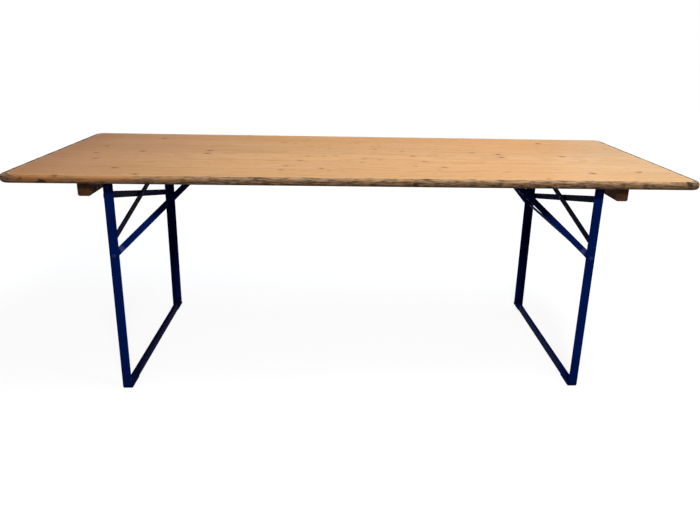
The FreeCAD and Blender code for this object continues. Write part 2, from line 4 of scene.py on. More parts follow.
import bpy
import numpy as np
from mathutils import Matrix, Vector


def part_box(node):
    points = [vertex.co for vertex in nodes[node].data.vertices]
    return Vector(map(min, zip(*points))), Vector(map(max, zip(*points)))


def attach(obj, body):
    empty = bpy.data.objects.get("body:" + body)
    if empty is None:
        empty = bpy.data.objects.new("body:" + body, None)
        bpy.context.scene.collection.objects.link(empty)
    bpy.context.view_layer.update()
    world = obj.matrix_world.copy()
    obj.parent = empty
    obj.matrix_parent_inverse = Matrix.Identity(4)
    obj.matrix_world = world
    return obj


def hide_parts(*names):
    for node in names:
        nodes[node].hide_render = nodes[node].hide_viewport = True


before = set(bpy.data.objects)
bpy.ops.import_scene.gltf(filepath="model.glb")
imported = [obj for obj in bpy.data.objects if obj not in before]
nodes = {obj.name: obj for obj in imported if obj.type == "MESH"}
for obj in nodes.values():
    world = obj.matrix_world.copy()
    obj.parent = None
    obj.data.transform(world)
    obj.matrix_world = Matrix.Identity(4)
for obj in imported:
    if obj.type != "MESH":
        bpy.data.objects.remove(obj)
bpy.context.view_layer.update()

# The top is a panel of softwood boards, glued edge to edge, planed, rounded over along its rim and lacquered.
# Years of stacking have dented the rim and rubbed dirt into it. Its knots run right through the boards, and
# round dark marks stand over the fixings of the legs and the catches.
BOARD_NAMES = sorted(name for name in nodes if name.startswith("top_board"))
panel_low = np.min([np.array(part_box(name)[0]) for name in BOARD_NAMES], axis=0)
panel_high = np.max([np.array(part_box(name)[1]) for name in BOARD_NAMES], axis=0)
panel_middle = (panel_low + panel_high) / 2
CORNER_ROUND = 0.038
EDGE_ROUND = 0.011
LONG_STEP = 0.0045
RIM_STEP = 0.003
CROSS_STEP = 0.004
QUARTER_POINTS = 9
CORNER_POINTS = 6
CORNER_WIDENING = 1.3
WALL_ROWS = 6
CUP_DEPTH = 0.00025
SAME_PLACE = 1e-6
TINY = 1e-9


def from_rim(x, y):
    """Distance of a point inside the outline of the panel, a rectangle with round corners, and the way out.

    The offset of the point from the nearest corner's centre is kept where it points outwards. Its length,
    taken from the corner radius, is the distance. Where it points inwards on both axes, the nearer side
    counts.
    """
    half = (panel_high - panel_low) / 2 - CORNER_ROUND
    side_x = np.sign(x - panel_middle[0])
    side_y = np.sign(y - panel_middle[1])
    out_x = np.abs(x - panel_middle[0]) - half[0]
    out_y = np.abs(y - panel_middle[1]) - half[1]
    beyond = np.hypot(np.maximum(out_x, 0), np.maximum(out_y, 0))
    inside = CORNER_ROUND - beyond - np.minimum(np.maximum(out_x, out_y), 0)
    length = np.maximum(beyond, TINY)
    way_x = np.where(beyond > 0, np.maximum(out_x, 0) / length, out_x > out_y) * side_x
    way_y = np.where(beyond > 0, np.maximum(out_y, 0) / length, out_y >= out_x) * side_y
    return inside, way_x, way_y


def rim_steps(reach, step):
    """Offsets from an edge: cosine steps over the quarter round, wider ones over the corner, then even."""
    quarter = EDGE_ROUND * (1 - np.cos(np.linspace(0, math.pi / 2, QUARTER_POINTS)))
    corner_shares = np.linspace(0, 1, CORNER_POINTS)[1:] ** CORNER_WIDENING
    corner = EDGE_ROUND + (CORNER_ROUND - EDGE_ROUND) * corner_shares
    even = np.linspace(CORNER_ROUND, reach, max(2, round((reach - CORNER_ROUND) / step)))[1:]
    return np.concatenate([quarter, corner, even])


def board_grid(low, high):
    """Rows across a board and columns along it. A row near the long edge is shorter, by the corner's arc."""
    first = low[1] <= panel_low[1] + SAME_PLACE
    last = high[1] >= panel_high[1] - SAME_PLACE
    half_length = (panel_high[0] - panel_low[0]) / 2
    steps = rim_steps(half_length, RIM_STEP if first or last else LONG_STEP)
    half_shares = 1 - steps / steps[-1]
    shares = np.concatenate([-half_shares, half_shares[-2::-1]])
    span = high[1] - low[1]
    rows = low[1] + np.linspace(0, span, round(span / CROSS_STEP) + 1)
    if first:
        rows = low[1] + rim_steps(span, LONG_STEP)
    if last:
        rows = high[1] - rim_steps(span, LONG_STEP)[::-1]
    edge = np.minimum(rows - panel_low[1], panel_high[1] - rows)
    arc = CORNER_ROUND - np.clip(edge, 0, CORNER_ROUND)
    reach = half_length - CORNER_ROUND + np.sqrt(CORNER_ROUND ** 2 - arc ** 2)
    x = panel_middle[0] + shares[:, None] * reach[None, :]
    y = np.broadcast_to(rows[None, :], x.shape)
    return x, y


def grid_faces(columns, rows, first=0, flip=False):
    """Quads of a grid of points that are numbered row by row within each column."""
    number = first + np.arange(columns * rows).reshape(columns, rows)
    corners = [number[:-1, :-1], number[1:, :-1], number[1:, 1:], number[:-1, 1:]]
    return np.stack(corners[::-1] if flip else corners, axis=-1).reshape(-1, 4)


def slab(x, y, top, bottom):
    """A closed slab: the grid at its top height, the same grid at its bottom height, and a wall between the
    two along the grid's rim, whose points stand at even shares of the height."""
    columns, rows = x.shape
    points = [np.stack([x, y, height], -1).reshape(-1, 3) for height in (top, bottom)]
    count = columns * rows
    faces = [grid_faces(columns, rows), grid_faces(columns, rows, count, True)]
    number = np.arange(count).reshape(columns, rows)
    loop = np.concatenate([number[:-1, 0], number[-1, :-1], number[:0:-1, -1], number[0, :0:-1]])
    ring = [loop]
    for level in range(1, WALL_ROWS):
        share = level / WALL_ROWS
        ring.append(2 * count + (level - 1) * len(loop) + np.arange(len(loop)))
        points.append(points[0][loop] * (1 - share) + points[1][loop] * share)
    ring.append(loop + count)
    upper = np.array(ring[:-1])
    lower = np.array(ring[1:])
    wall = np.stack([upper, lower, np.roll(lower, -1, 1), np.roll(upper, -1, 1)], -1)
    faces.append(wall.reshape(-1, 4))
    return np.concatenate(points), np.concatenate(faces)


# Wear of the rim. The wave's turns are in radians per metre, along the table and across it.
WAVE_DEPTH = 0.00018
WAVE_TURNS = (61, 43)
WAVE_DRIFT = 5
WAVE_DRIFT_TURNS = 17
WAVE_START = 2
WEAR_REACH = 0.013
WEAR_FADE = 0.006
DENT_COUNT = 320
DENT_SEED = 41
SMALLEST_DENT = 0.0022
DENT_RANGE = 0.0065
SHALLOWEST_DENT_SHARE = 0.08
DENT_DEPTH_RANGE_SHARE = 0.13


def rim_dents():
    """Dents at random places on the rim: place, radius and depth in metres. Few of them are large."""
    draw = np.random.default_rng(DENT_SEED)
    size = panel_high - panel_low
    along = draw.random(DENT_COUNT)
    on_long_edge = draw.random(DENT_COUNT) < size[0] / (size[0] + size[1])
    far = draw.random(DENT_COUNT) < 0.5
    x = np.where(on_long_edge, panel_low[0] + along * size[0], np.where(far, panel_high[0], panel_low[0]))
    y = np.where(on_long_edge, np.where(far, panel_high[1], panel_low[1]), panel_low[1] + along * size[1])
    z = panel_low[2] + size[2] * draw.random(DENT_COUNT)
    radius = SMALLEST_DENT + DENT_RANGE * draw.random(DENT_COUNT) ** 3
    depth = radius * (SHALLOWEST_DENT_SHARE + DENT_DEPTH_RANGE_SHARE * draw.random(DENT_COUNT))
    return np.stack([x, y, z, radius, depth], -1)


def rim_wear(points, dents):
    """Moves points near the rim towards the panel's core line, by a slow wave along the rim and by round
    dents that fall off as a bell over their radius. Gives the moved points and how deep each one went."""
    x, y = points[:, 0], points[:, 1]
    inside, way_x, way_y = from_rim(x, y)
    core_depth = (panel_high[2] - panel_low[2]) / 2
    pull = np.maximum(core_depth - inside, 0)
    towards = np.stack([-way_x * pull, -way_y * pull, panel_middle[2] - points[:, 2]], -1)
    towards /= np.maximum(np.linalg.norm(towards, axis=1, keepdims=True), TINY)
    drift = WAVE_DRIFT * np.sin(WAVE_DRIFT_TURNS * y)
    depth = WAVE_DEPTH * (1 + np.sin(WAVE_TURNS[0] * x + drift) * np.sin(WAVE_TURNS[1] * y + WAVE_START))
    near = inside < WEAR_REACH
    gap = np.linalg.norm(points[near][:, None, :] - dents[None, :, :3], axis=2)
    depth[near] += (dents[:, 4] * np.exp(-((gap / dents[:, 3]) ** 2))).sum(1)
    depth *= np.clip((WEAR_REACH - inside) / WEAR_FADE, 0, 1)
    return points + towards * depth[:, None], depth


# Knots and marks. Each kind has a radius in metres and a depth of colour from 0 to 1. Shares are of the half
# panel, along it and across it.
DARK_KNOT = (0.008, 0.8)
PALE_KNOT = (0.008, 0.45)
PIN_KNOT = (0.006, 0.35)
FIXING_MARK = (0.0095, 0.75)
DARK_KNOT_SHARES = [(-0.86, 0.22), (-0.85, -0.1), (-0.82, -0.34), (-0.84, -0.98), (-0.63, -0.92),
                    (0.03, -0.98), (0.19, -0.98), (0.19, -0.07), (0.87, -0.63)]
PALE_KNOT_SHARES = [(-0.18, -0.33), (-0.22, -0.55), (-0.23, -0.71), (-0.11, -0.64), (0.27, -0.54),
                    (0.07, 0.25), (0.01, 0.58), (-0.26, 0.55), (0.22, -0.3), (0.41, 0.13),
                    (0.55, -0.92), (0.94, 0.44)]
PIN_KNOT_COUNT = 26
PIN_KNOT_SEED = 23
PIN_SPREAD_SHARE = 0.3
PIN_CROSS_SHARES = (-0.9, 0.8)
HINGE_MARK_INSET = 0.005
HINGE_MARK_SPREAD = 0.245
CATCH_MARK_OUTSET = 0.022
CATCH_MARK_SPREAD = 0.023
KNOT_STRETCH = 1.5
GRAIN_PUSH_SHARE = 0.9
GRAIN_PUSH_RADII = (5, 3)


def fixing_marks():
    """Places of the round dark marks in the top: three in a row over a pair of legs, two over a catch."""
    leg_x = np.mean([corner[0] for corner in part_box("right_front_leg")]) - HINGE_MARK_INSET
    catch_x = np.mean([corner[0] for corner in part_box("right_catch")]) + CATCH_MARK_OUTSET
    half = [(leg_x, share * HINGE_MARK_SPREAD) for share in (-1, 0, 1)]
    half += [(catch_x, share * CATCH_MARK_SPREAD) for share in (-1, 1)]
    return [(side * x, y) for side in (-1, 1) for x, y in half]


def knot_rows():
    """Place, radius and depth of colour of each knot and mark. Listed knots stand at their shares, and pin
    knots are drawn at random, thickest about the middle of the length."""
    half = (panel_high - panel_low)[:2] / 2
    draw = np.random.default_rng(PIN_KNOT_SEED)
    pin_along = PIN_SPREAD_SHARE * draw.standard_normal(PIN_KNOT_COUNT)
    pin_across = draw.uniform(*PIN_CROSS_SHARES, PIN_KNOT_COUNT)
    pin_shares = np.stack([pin_along, pin_across], -1)
    groups = [(DARK_KNOT_SHARES * half, DARK_KNOT), (PALE_KNOT_SHARES * half, PALE_KNOT),
              (pin_shares * half, PIN_KNOT), (np.array(fixing_marks()), FIXING_MARK)]
    rows = [np.column_stack([places, np.tile(look, (len(places), 1))]) for places, look in groups]
    return np.concatenate(rows)


def knot_fields(points, depth_below, knots):
    """Distance to the nearest knot in radii, that knot's depth of colour, and how far the grain swings aside.

    A knot is an ellipse, longer along the grain. The swing rises to its full amount beside a knot, as tanh,
    and dies away as a bell along and across it.
    """
    gap = points[:, None, :2] - knots[None, :, :2]
    radius = knots[:, 2]
    flat_gap = (gap[..., 0] / KNOT_STRETCH) ** 2 + gap[..., 1] ** 2
    round_gap = np.sqrt(flat_gap + depth_below[:, None] ** 2) / radius
    side = gap[..., 1] / radius
    bell = np.exp(-(gap[..., 0] / (GRAIN_PUSH_RADII[0] * radius)) ** 2 - (side / GRAIN_PUSH_RADII[1]) ** 2)
    swing = radius * GRAIN_PUSH_SHARE * np.tanh(side) * bell
    return round_gap.min(1), knots[round_gap.argmin(1), 3], -swing.sum(1)


SMOOTH_ANGLE = math.radians(38)


def new_piece(name, points, faces, material):
    """A mesh object at the origin from arrays of points and quads, smooth where faces meet at a low angle."""
    mesh = bpy.data.meshes.new(name)
    mesh.from_pydata(points.tolist(), [], faces.tolist())
    mesh.update()
    mesh.shade_smooth()
    mesh.set_sharp_from_angle(angle=SMOOTH_ANGLE)
    mesh.materials.append(material)
    piece = bpy.data.objects.new(name, mesh)
    bpy.context.scene.collection.objects.link(piece)
    return piece


def keep_values(piece, name, values):
    """Stores one number for each point of a piece, for its material to read."""
    piece.data.attributes.new(name, "FLOAT", "POINT").data.foreach_set("value", values.astype(np.float32))


def node(tree, kind, inputs=None, **settings):
    """Adds a shader node. An input that is given another node's socket is linked, and any other is set."""
    made = tree.nodes.new(kind)
    for name, value in settings.items():
        setattr(made, name, value)
    for socket, value in (inputs or {}).items():
        if isinstance(value, bpy.types.NodeSocket):
            tree.links.new(value, made.inputs[socket])
        else:
            made.inputs[socket].default_value = value
    return made


def calc(tree, operation, a, b=0.0, clamp=False):
    """One calculation with one or two values."""
    return node(tree, "ShaderNodeMath", {0: a, 1: b}, operation=operation, use_clamp=clamp).outputs[0]


def plus(tree, a, b, clamp=False):
    """The sum of two values, held between 0 and 1 if it is clamped."""
    return calc(tree, "ADD", a, b, clamp)


def times(tree, a, b):
    """The product of two values."""
    return calc(tree, "MULTIPLY", a, b)


def between(tree, value, start, end, low=0.0, high=1.0):
    """A smooth step that takes the value from low at start to high at end."""
    inputs = {"Value": value, "From Min": start, "From Max": end, "To Min": low, "To Max": high}
    return node(tree, "ShaderNodeMapRange", inputs, interpolation_type="SMOOTHSTEP").outputs["Result"]


def blend(tree, share, first, second, kind="MIX"):
    """Mixes two colours by a share. The sockets are numbered because their names repeat."""
    inputs = {0: share, 6: first, 7: second}
    return node(tree, "ShaderNodeMix", inputs, data_type="RGBA", blend_type=kind).outputs[2]


def vector_calc(tree, operation, a, b):
    """One calculation with two vectors."""
    return node(tree, "ShaderNodeVectorMath", {0: a, 1: b}, operation=operation).outputs


def stretched(tree, vector, x, y, z):
    """The vector with each axis times its own factor."""
    return vector_calc(tree, "MULTIPLY", vector, (x, y, z))[0]


def split(tree, vector):
    """The three axes of a vector."""
    return node(tree, "ShaderNodeSeparateXYZ", {0: vector}).outputs


def noise(tree, vector, scale, detail=3.0, roughness=0.55):
    """Cloudy noise from 0 to 1 about a half."""
    inputs = {"Vector": vector, "Scale": scale, "Detail": detail, "Roughness": roughness}
    return node(tree, "ShaderNodeTexNoise", inputs).outputs["Fac"]


def attribute(tree, name):
    """A number that the piece's mesh holds for each point."""
    return node(tree, "ShaderNodeAttribute", attribute_name=name).outputs["Fac"]


def new_group(name, inputs, outputs):
    """An empty node group with named sockets. Each input is a name with a default number, vector or colour,
    and each output is a name with its count of numbers."""
    tree = bpy.data.node_groups.new(name, "ShaderNodeTree")
    kinds = {1: "NodeSocketFloat", 3: "NodeSocketVector", 4: "NodeSocketColor"}
    for label, value in inputs.items():
        size = 1 if isinstance(value, float) else len(value)
        tree.interface.new_socket(label, in_out="INPUT", socket_type=kinds[size]).default_value = value
    for label, size in outputs.items():
        tree.interface.new_socket(label, in_out="OUTPUT", socket_type=kinds[size])
    return tree, tree.nodes.new("NodeGroupInput").outputs, tree.nodes.new("NodeGroupOutput").inputs


def use_group(tree, name, inputs):
    """Places a node group in a material and gives its outputs."""
    return node(tree, "ShaderNodeGroup", inputs, node_tree=bpy.data.node_groups[name]).outputs


def new_material(name):
    """A material with its shader, and the object's own coordinates in metres."""
    made = bpy.data.materials.new(name)
    made.use_nodes = True
    tree = made.node_tree
    place = node(tree, "ShaderNodeTexCoord").outputs["Object"]
    return made, tree, tree.nodes["Principled BSDF"], place


def set_bump(tree, shader, height, distance, strength=1.0):
    """Raises the shader's normal by a height from 0 to 1 over a distance in metres."""
    inputs = {"Height": height, "Distance": distance, "Strength": strength}
    tree.links.new(node(tree, "ShaderNodeBump", inputs).outputs[0], shader.inputs["Normal"])


# Softwood figure: growth rings round an axis below the board, wandering along it, with fine fibres and slow
# changes of tone. The grain runs along X of the vector, and the seed gives each board a figure of its own.
RING_STEP = 0.0052
RING_WANDER = 0.045
HEART_SPREAD = 0.09
HEART_DEPTH = 0.06
LATE_WOOD_SHARE = 0.34
FIBRE_SHARE = 0.22
STREAK_SHARE = 0.30
tree, given, result = new_group(
    "softwood_figure",
    {"Vector": (0.0, 0.0, 0.0), "Seed": 0.0, "Bend": 0.0,
     "Pale": (0.6, 0.4, 0.2, 1), "Dark": (0.4, 0.2, 0.1, 1)},
    {"Color": 4, "Height": 1})
chance = node(tree, "ShaderNodeTexWhiteNoise", {"W": given["Seed"]}, noise_dimensions="1D").outputs["Color"]
shift = stretched(tree, chance, 9.0, 0.0, 0.0)
moved = vector_calc(tree, "ADD", given["Vector"], shift)[0]
wander = noise(tree, stretched(tree, moved, 1.3, 5.0, 5.0), 1.0, 3.0)
parts = split(tree, given["Vector"])
heart = split(tree, chance)
across = plus(tree, plus(tree, parts[1], given["Bend"]), times(tree, heart[1], HEART_SPREAD))
depth = plus(tree, parts[2], times(tree, heart[2], HEART_DEPTH))
reach = calc(tree, "POWER", plus(tree, times(tree, across, across), times(tree, depth, depth)), 0.5)
reach = plus(tree, reach, times(tree, wander, RING_WANDER))
ring = calc(tree, "SINE", times(tree, reach, 2 * math.pi / RING_STEP))
late = between(tree, ring, 0.1, 1.0)
fibre = noise(tree, stretched(tree, moved, 9.0, 620.0, 620.0), 1.0, 2.0)
streak = noise(tree, stretched(tree, moved, 1.6, 46.0, 46.0), 1.0, 4.0, 0.62)
tone = noise(tree, stretched(tree, moved, 0.9, 4.0, 4.0), 1.0, 2.0)
share = plus(tree, times(tree, late, LATE_WOOD_SHARE), times(tree, fibre, FIBRE_SHARE))
share = plus(tree, share, between(tree, streak, 0.42, 0.78, 0.0, STREAK_SHARE), True)
wood = blend(tree, share, given["Pale"], given["Dark"])
board_level = times(tree, calc(tree, "SUBTRACT", heart[0], 0.5), 0.06)
level = plus(tree, between(tree, tone, 0.3, 0.7, 0.97, 1.03), board_level)
grey = node(tree, "ShaderNodeCombineColor", {0: level, 1: level, 2: level}).outputs[0]
tree.links.new(blend(tree, 1.0, wood, grey, "MULTIPLY"), result["Color"])
tree.links.new(plus(tree, times(tree, late, 0.7), times(tree, fibre, 0.3)), result["Height"])

# Ground-in dirt: a mask that gathers where the amount is high and breaks up into blotches and specks.
BLOTCH_SHARE = 0.75
SPECK_SHARE = 0.25
tree, given, result = new_group(
    "ground_in_dirt", {"Vector": (0.0, 0.0, 0.0), "Amount": 0.5, "Scale": 1.0}, {"Mask": 1})
scaled = node(tree, "ShaderNodeVectorMath", {0: given["Vector"], "Scale": given["Scale"]}, operation="SCALE")
blotch = noise(tree, scaled.outputs[0], 38.0, 5.0, 0.65)
speck = noise(tree, scaled.outputs[0], 240.0, 2.0, 0.5)
mixed = plus(tree, times(tree, blotch, BLOTCH_SHARE), times(tree, speck, SPECK_SHARE))
edge = calc(tree, "SUBTRACT", 0.98, given["Amount"])
tree.links.new(between(tree, calc(tree, "SUBTRACT", mixed, edge), -0.12, 0.14), result["Mask"])

# Lacquered softwood. A span gives where a change starts and where it is full, in metres.
PALE_WOOD = (0.79, 0.420, 0.174, 1)
DARK_WOOD = (0.59, 0.272, 0.091, 1)
KNOT_HALO = (0.42, 0.155, 0.030, 1)
KNOT_CORE = (0.120, 0.034, 0.004, 1)
FLECK_BROWN = (0.30, 0.125, 0.042, 1)
SEAM_BROWN = (0.20, 0.095, 0.035, 1)
# The next two browns are painted shade towards the left end of the top.
LEFT_SHADE_BROWN = (0.50, 0.215, 0.078, 1)
LEFT_END_SHADE_BROWN = (0.42, 0.135, 0.025, 1)
REAR_TINT = (0.96, 0.88, 0.76, 1)
RIGHT_TINT = (0.91, 0.935, 0.935, 1)
# A pale painted highlight along the top arris.
ARRIS_HIGHLIGHT = (0.90, 0.58, 0.30, 1)
DARK_GRIME = (0.085, 0.059, 0.036, 1)
PALE_GRIME = (0.435, 0.295, 0.176, 1)
END_GRIME = (0.130, 0.092, 0.062, 1)
SPOT_BLACK = (0.030, 0.020, 0.012, 1)
SCUFF_BLACK = (0.012, 0.009, 0.007, 1)
DENT_BROWN = (0.070, 0.040, 0.022, 1)
SEAM_SPAN = (0.0016, 0.0002)
# Spans of the painted shade towards the left end.
LEFT_SHADE_SPAN = (panel_low[0] + 0.80, panel_low[0] + 0.02)
LEFT_END_SHADE_SPAN = (panel_low[0] + 0.20, panel_low[0])
REAR_TINT_SPAN = (-0.05, 0.30)
RIGHT_TINT_SPAN = (panel_high[0] - 0.50, panel_high[0] - 0.02)
# Over this span the rim's dirt thickens towards its lower side as painted shade.
LOW_SIDE_SHADE_SPAN = (panel_high[2] - 0.003, panel_high[2] - 0.023)
HANDLED_LEFT_SPAN = (panel_low[0] + 0.15, panel_low[0] + 0.85)
HANDLED_RIGHT_SPAN = (panel_high[0] - 0.10, panel_high[0] - 0.60)
STACKED_SPAN = (panel_high[0] - 0.070, panel_high[0] - 0.015)
DIRT_SPAN = (0.0100, 0.0075)
ARRIS_OUTER_SPAN = (0.0090, 0.0110)
ARRIS_INNER_SPAN = (0.0165, 0.0130)
DIRT_AMOUNT_SPAN = (-0.9, 0.3)
END_RIM_SPAN = (panel_high[0] - 0.0200, panel_high[0] - 0.0115)
DENT_DIRT_SPAN = (0.00036, 0.0008)
SCUFF_SPAN = (0.021, 0.012)
SCUFF_RAGGEDNESS = 0.012
SCUFF_PLACE = (panel_high[0] - 0.049, panel_low[1] + 0.005, panel_high[2] - 0.004)
HANDLED_SPREAD = 0.022
STACKED_SPREAD = 0.042
lacquered, tree, shader, place = new_material("lacquered_softwood")
along, across, height = split(tree, place)
from_middle = calc(tree, "ABSOLUTE", along)
figure = use_group(tree, "softwood_figure", {
    "Vector": place, "Seed": attribute(tree, "board"), "Bend": attribute(tree, "bend"),
    "Pale": PALE_WOOD, "Dark": DARK_WOOD})

# Knots with ragged edges, short flecks of dark grain and the glued seams.
ragged = times(tree, calc(tree, "SUBTRACT", noise(tree, place, 130.0, 2.0), 0.5), 0.9)
knot_gap = plus(tree, attribute(tree, "knot"), ragged)
ripe = attribute(tree, "ripe")
halo = times(tree, between(tree, knot_gap, 1.8, 0.8, 0.0, 0.5), ripe)
colour = blend(tree, halo, figure["Color"], KNOT_HALO)
core = times(tree, between(tree, knot_gap, 0.9, 0.55), ripe)
colour = blend(tree, core, colour, KNOT_CORE)
fleck = noise(tree, stretched(tree, place, 26.0, 190.0, 60.0), 1.0, 1.0, 0.5)
colour = blend(tree, between(tree, fleck, 0.62, 0.78, 0.0, 0.60), colour, FLECK_BROWN)
seam = between(tree, attribute(tree, "seam"), *SEAM_SPAN, 0.0, 0.55)
colour = blend(tree, seam, colour, SEAM_BROWN)

# Painted shade darkens and reddens the top towards the left end, deepest at the end itself. The colour also
# turns warmer and a little darker towards the rear, and a little darker and less red at the right end.
colour = blend(tree, between(tree, along, *LEFT_SHADE_SPAN, 0.0, 0.46), colour, LEFT_SHADE_BROWN)
colour = blend(tree, between(tree, along, *LEFT_END_SHADE_SPAN, 0.0, 0.44), colour, LEFT_END_SHADE_BROWN)
colour = blend(tree, between(tree, across, *REAR_TINT_SPAN), colour, REAR_TINT, "MULTIPLY")
colour = blend(tree, between(tree, along, *RIGHT_TINT_SPAN), colour, RIGHT_TINT, "MULTIPLY")

# Dirt on the rim lies below a pale painted highlight along the arris. It spreads further where hands and
# other tables touch it.
# Painted shade: the dirt on the rim grows towards its lower side, on top of the real dirt.
low_side_shade = between(tree, height, *LOW_SIDE_SHADE_SPAN, 0.0, 0.12)
handled = times(tree, between(tree, along, *HANDLED_LEFT_SPAN, 0.0, 0.20),
                between(tree, along, *HANDLED_RIGHT_SPAN, 0.7, 1.0))
stacked = between(tree, from_middle, *STACKED_SPAN, 0.0, 0.28)
touched = calc(tree, "MAXIMUM", handled, stacked)
spread = calc(tree, "MAXIMUM", times(tree, handled, HANDLED_SPREAD), times(tree, stacked, STACKED_SPREAD))
from_dirt = calc(tree, "SUBTRACT", attribute(tree, "rim"), spread)
near_rim = between(tree, from_dirt, *DIRT_SPAN)
arris_highlight = times(tree, between(tree, from_dirt, *ARRIS_INNER_SPAN, 0.0, 0.4),
                   between(tree, from_dirt, *ARRIS_OUTER_SPAN))
colour = blend(tree, arris_highlight, colour, ARRIS_HIGHLIGHT)
amount = plus(tree, plus(tree, low_side_shade, touched), between(tree, along, *DIRT_AMOUNT_SPAN, 0.37, 0.38))
rim_dirt_and_shade = use_group(tree, "ground_in_dirt", {
    "Vector": stretched(tree, place, 0.22, 0.8, 1.6),
    "Amount": times(tree, near_rim, amount), "Scale": 1.0})["Mask"]
line = noise(tree, stretched(tree, place, 30.0, 60.0, 260.0), 1.0, 3.0, 0.6)
grime = blend(tree, between(tree, line, 0.40, 0.60), DARK_GRIME, PALE_GRIME)
colour = blend(tree, times(tree, rim_dirt_and_shade, 0.9), colour, grime)
end_rim = times(tree, between(tree, from_middle, *END_RIM_SPAN, 0.0, 0.62),
                between(tree, noise(tree, place, 26.0, 3.0), 0.3, 0.55, 0.45, 1.0))
colour = blend(tree, end_rim, colour, END_GRIME)

# Black spots along the rim, one scuff at the right front corner, and dirt in the dents.
spot_noise = noise(tree, stretched(tree, place, 14.0, 14.0, 30.0), 1.0, 1.0)
spot = times(tree, near_rim, between(tree, spot_noise, 0.64, 0.71, 0.0, 0.8))
colour = blend(tree, spot, colour, SPOT_BLACK)
scuff_gap = vector_calc(tree, "DISTANCE", place, SCUFF_PLACE)["Value"]
scuff_gap = plus(tree, scuff_gap, times(tree, noise(tree, place, 150.0, 2.0), SCUFF_RAGGEDNESS))
colour = blend(tree, between(tree, scuff_gap, *SCUFF_SPAN, 0.0, 0.8), colour, SCUFF_BLACK)
dent_dirt = times(tree, between(tree, attribute(tree, "dent"), *DENT_DIRT_SPAN, 0.0, 0.9),
                  between(tree, noise(tree, place, 310.0, 3.0), 0.42, 0.62))
colour = blend(tree, dent_dirt, colour, DENT_BROWN)
tree.links.new(colour, shader.inputs["Base Color"])
rubbed = noise(tree, stretched(tree, place, 2.0, 9.0, 9.0), 1.0, 5.0, 0.6)
dull = plus(tree, between(tree, rubbed, 0.3, 0.75, 0.26, 0.38), times(tree, rim_dirt_and_shade, 0.25))
tree.links.new(dull, shader.inputs["Roughness"])
shader.inputs["Specular IOR Level"].default_value = 0.011
relief = calc(tree, "SUBTRACT", figure["Height"], times(tree, seam, 1.5))
set_bump(tree, shader, relief, 0.00012, 0.6)

# The boards themselves. A long edge that meets another board is a seam, and any other counts as far away.
FAR_AWAY = 1.0
knots = knot_rows()
dents = rim_dents()
for number, name in enumerate(BOARD_NAMES):
    low, high = (np.array(corner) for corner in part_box(name))
    x, y = board_grid(low, high)
    inside = np.maximum(from_rim(x, y)[0], 0)
    drop = EDGE_ROUND - np.sqrt(EDGE_ROUND ** 2 - (EDGE_ROUND - np.minimum(inside, EDGE_ROUND)) ** 2)
    cup = CUP_DEPTH * (2 * (y - low[1]) / (high[1] - low[1]) - 1) ** 2
    points, faces = slab(x, y, high[2] - drop - cup, low[2] + drop)
    rim = np.maximum(from_rim(points[:, 0], points[:, 1])[0], 0)
    worn, dent = rim_wear(points, dents)
    board = new_piece("lacquered_board_%d" % (number + 1), worn, faces, lacquered)
    depth_below = np.where(rim < EDGE_ROUND, high[2] - points[:, 2], 0.0)
    knot, ripe, bend = knot_fields(points, depth_below, knots)
    front_seam = low[1] > panel_low[1] + SAME_PLACE
    rear_seam = high[1] < panel_high[1] - SAME_PLACE
    seam_gap = np.minimum(np.where(front_seam, points[:, 1] - low[1], FAR_AWAY),
                          np.where(rear_seam, high[1] - points[:, 1], FAR_AWAY))
    keep_values(board, "board", np.full(len(points), number + 1.0))
    keep_values(board, "rim", rim)
    keep_values(board, "dent", dent)
    keep_values(board, "seam", seam_gap)
    keep_values(board, "knot", knot)
    keep_values(board, "ripe", ripe)
    keep_values(board, "bend", bend)
    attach(board, "tabletop")
    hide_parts(name)

# Two battens of dark stained softwood lie across the underside, with their grain across the table. They are
# screwed up into every board and keep the panel flat.
PALE_STAIN = (0.195, 0.092, 0.041, 1)
DARK_STAIN = (0.11, 0.048, 0.020, 1)
BATTEN_DIRT = (0.040, 0.022, 0.012, 1)
stained, tree, shader, place = new_material("stained_batten_wood")
turned = node(tree, "ShaderNodeMapping", {"Vector": place, "Rotation": (0.0, 0.0, math.pi / 2)}).outputs[0]
side_of_table = calc(tree, "SIGN", split(tree, place)[0])
figure = use_group(tree, "softwood_figure", {
    "Vector": turned, "Seed": side_of_table, "Pale": PALE_STAIN, "Dark": DARK_STAIN})
dirt = use_group(tree, "ground_in_dirt", {"Vector": place, "Amount": 0.42, "Scale": 1.0})["Mask"]
colour = blend(tree, times(tree, dirt, 0.75), figure["Color"], BATTEN_DIRT)
tree.links.new(colour, shader.inputs["Base Color"])
tree.links.new(between(tree, figure["Height"], 0.0, 1.0, 0.72, 0.58), shader.inputs["Roughness"])
shader.inputs["Specular IOR Level"].default_value = 0.1
set_bump(tree, shader, figure["Height"], 0.0003)


def finish_nodes(material, *endings):
    """Gives a material to every solid whose name ends in one of the endings."""
    for name, solid in nodes.items():
        if name.endswith(endings):
            solid.data.materials.clear()
            solid.data.materials.append(material)


finish_nodes(stained, "_batten")

# Wood screws of zinc-plated steel hold the battens, the hinge plates and the catches to the boards. Their
# plating has gone dull, and dirt sits on it.
DARK_ZINC = (0.42, 0.42, 0.40, 1)
PALE_ZINC = (0.62, 0.61, 0.57, 1)
SCREW_DIRT = (0.16, 0.12, 0.09, 1)
zinc, tree, shader, place = new_material("dull_zinc")
cloud = noise(tree, place, 160.0, 4.0)
dirt = use_group(tree, "ground_in_dirt", {"Vector": place, "Amount": 0.45, "Scale": 3.0})["Mask"]
colour = blend(tree, dirt, blend(tree, cloud, DARK_ZINC, PALE_ZINC), SCREW_DIRT)
tree.links.new(colour, shader.inputs["Base Color"])
tree.links.new(between(tree, cloud, 0.3, 0.7, 0.34, 0.52), shader.inputs["Roughness"])
tree.links.new(between(tree, dirt, 0.0, 1.0, 1.0, 0.25), shader.inputs["Metallic"])
set_bump(tree, shader, cloud, 0.00015)
finish_nodes(zinc, "_screws")

